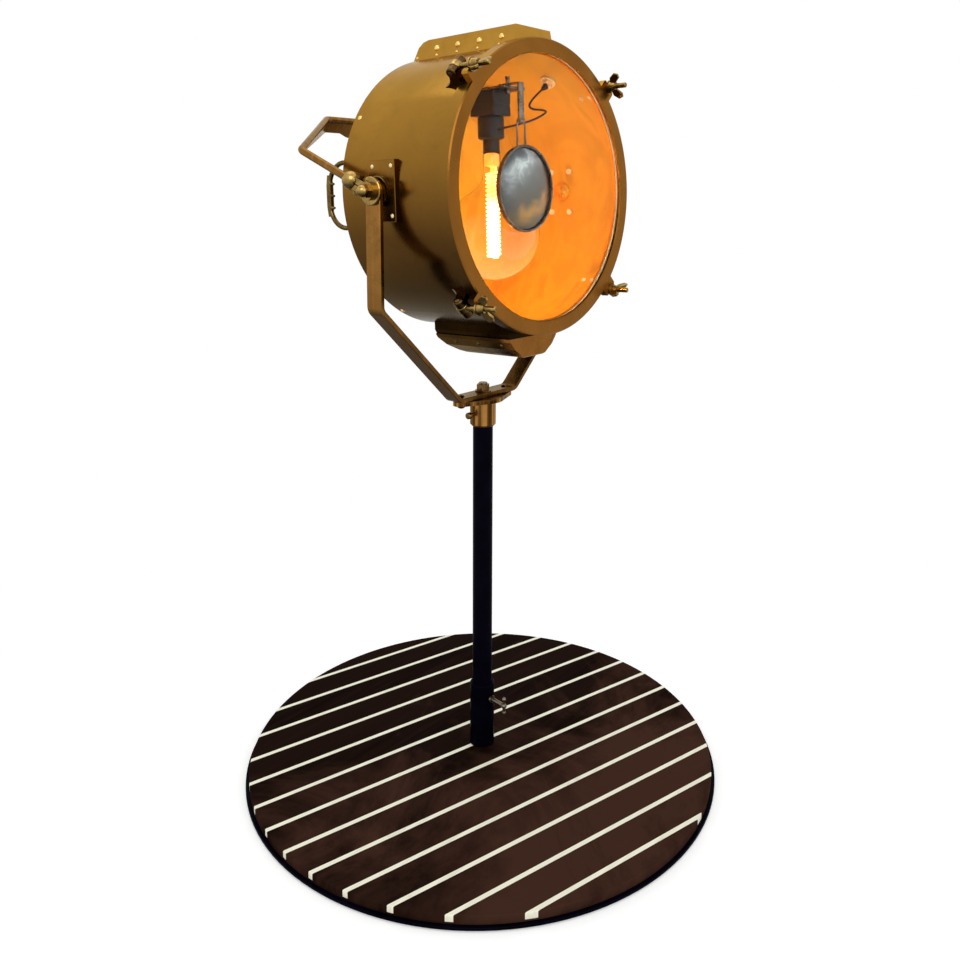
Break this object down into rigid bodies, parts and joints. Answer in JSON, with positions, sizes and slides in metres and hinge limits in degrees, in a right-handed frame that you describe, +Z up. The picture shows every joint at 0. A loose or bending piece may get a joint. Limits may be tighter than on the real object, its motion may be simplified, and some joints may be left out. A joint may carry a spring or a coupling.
{
  "type": "searchlight lamp on a disc base",
  "caption": "Brass drum searchlight lamp in a tilting yoke on a post that stands on a round striped plank base, with clamped glass front, bail handle and globe bulb.",
  "frame": {"origin": "centre of the disc base, on the surface it stands on", "axes": "+Z up the post, the lamp looks along -Y, the trunnions lie along X"},
  "size_m": [0.6699, 0.67, 1.0216],
  "materials": {
    "rubber_black": "matt",
    "black_paint": "satin black",
    "dark_wood": "dark red-brown varnish",
    "pale_inlay": "varnished",
    "steel": "dulled",
    "bright_brass": "worn",
    "bronze": "dark patina",
    "yoke_brass": "aged satin",
    "aged_brass": "aged, lacquered",
    "ring_brass": "red-brown patina",
    "inner_brass": "warm satin",
    "clear_glass": "clear",
    "bulb_glass": "clear, warm",
    "holder_black": "aged",
    "glow": "glowing",
    "mirror": "silvered",
    "lead_sheath": "brown sleeving"
  },
  "bodies": {
    "base": {"foot_pads": "rubber_black", "plinth": "black_paint", "deck_planks": "dark_wood", "deck_strips": "pale_inlay", "post_socket": "black_paint", "socket_screws": "steel"},
    "socket_screw": {"socket_clamp_screw": "bright_brass"},
    "mast": {"post": "black_paint", "post_plug": "steel", "post_nut": "bronze"},
    "yoke": {"yoke_collar": "yoke_brass", "flange_bolts": "bronze", "yoke": "yoke_brass"},
    "collar_screw": {"collar_set_screw": "bronze"},
    "eyebolt_ur": {"eyebolt_ur": "bright_brass"},
    "wing_nut_ur": {"wing_nut_ur": "bright_brass"},
    "eyebolt_ul": {"eyebolt_ul": "bright_brass"},
    "wing_nut_ul": {"wing_nut_ul": "bright_brass"},
    "eyebolt_ll": {"eyebolt_ll": "bright_brass"},
    "wing_nut_ll": {"wing_nut_ll": "bright_brass"},
    "eyebolt_lr": {"eyebolt_lr": "bright_brass"},
    "wing_nut_lr": {"wing_nut_lr": "bright_brass"},
    "head": {"drum_shell": "aged_brass", "rim_screws": "bright_brass", "back_cover": "aged_brass", "front_ring": "ring_brass", "front_glass": "clear_glass", "glass_gasket": "rubber_black", "glass_retainer": "inner_brass", "retainer_screws": "bronze", "clamp_lugs": "bronze", "clamp_pins": "bright_brass", "lug_rivets": "bright_brass", "trunnion_pads": "aged_brass", "pad_screws": "bright_brass", "trunnion_shafts": "steel", "friction_discs": "bright_brass", "cap_nuts": "bright_brass", "bail_handle": "yoke_brass", "bail_hubs": "bright_brass", "pinch_bolts": "bright_brass", "pull_handle": "bright_brass", "vent_hood": "aged_brass", "hood_rivets": "bright_brass", "box_neck": "bronze", "box_pan": "aged_brass", "box_rivets": "bright_brass", "lamp_bracket": "steel", "bracket_screw": "steel", "holder_block": "holder_black", "holder_skirt": "holder_black", "bulb_cap": "bright_brass", "bulb_glass": "bulb_glass", "filament": "glow", "aux_mirror": "mirror", "mirror_rim": "steel", "mirror_hanger": "steel", "lamp_lead": "lead_sheath", "wall_fitting": "bright_brass", "lead_grommet": "holder_black"}
  },
  "joints": [
    {"name": "post_height", "type": "slide", "parent": "base", "child": "mast", "axis": [0, 0, 1], "range_m": [0, 0.045]},
    {"name": "socket_screw_turn", "type": "hinge", "parent": "base", "child": "socket_screw", "pos_m": [0, 0, 0.0905], "axis": [-0.1045, -0.9945, 0], "range_deg": [0, 360]},
    {"name": "pan", "type": "hinge", "parent": "mast", "child": "yoke", "pos_m": [0, 0, 0.53], "axis": [0, 0, 1], "continuous": true},
    {"name": "collar_screw_turn", "type": "hinge", "parent": "yoke", "child": "collar_screw", "pos_m": [0, 0, 0.512], "axis": [-1, 0, 0], "range_deg": [0, 360]},
    {"name": "tilt", "type": "hinge", "parent": "yoke", "child": "head", "pos_m": [0, 0, 0.8163], "axis": [-1, 0, 0], "range_deg": [-25, 60]},
    {"name": "swing_ur", "type": "hinge", "parent": "head", "child": "eyebolt_ur", "pos_m": [0.14194, -0.08058, 0.95898], "axis": [-0.7009, 0.0274, 0.7127], "range_deg": [0, 100]},
    {"name": "spin_ur", "type": "hinge", "parent": "eyebolt_ur", "child": "wing_nut_ur", "pos_m": [0.14194, -0.10956, 0.96009], "axis": [0, -0.9993, 0.0384], "continuous": true},
    {"name": "swing_ul", "type": "hinge", "parent": "head", "child": "eyebolt_ul", "pos_m": [-0.14194, -0.08058, 0.95898], "axis": [-0.7009, -0.0274, -0.7127], "range_deg": [0, 100]},
    {"name": "spin_ul", "type": "hinge", "parent": "eyebolt_ul", "child": "wing_nut_ul", "pos_m": [-0.14194, -0.10956, 0.96009], "axis": [0, -0.9993, 0.0384], "continuous": true},
    {"name": "swing_ll", "type": "hinge", "parent": "head", "child": "eyebolt_ll", "pos_m": [-0.14194, -0.09129, 0.68022], "axis": [0.7009, -0.0274, -0.7127], "range_deg": [0, 100]},
    {"name": "spin_ll", "type": "hinge", "parent": "eyebolt_ll", "child": "wing_nut_ll", "pos_m": [-0.14194, -0.12027, 0.68134], "axis": [0, -0.9993, 0.0384], "continuous": true},
    {"name": "swing_lr", "type": "hinge", "parent": "head", "child": "eyebolt_lr", "pos_m": [0.14194, -0.09129, 0.68022], "axis": [0.7009, 0.0274, 0.7127], "range_deg": [0, 100]},
    {"name": "spin_lr", "type": "hinge", "parent": "eyebolt_lr", "child": "wing_nut_lr", "pos_m": [0.14194, -0.12027, 0.68134], "axis": [0, -0.9993, 0.0384], "continuous": true}
  ]
}
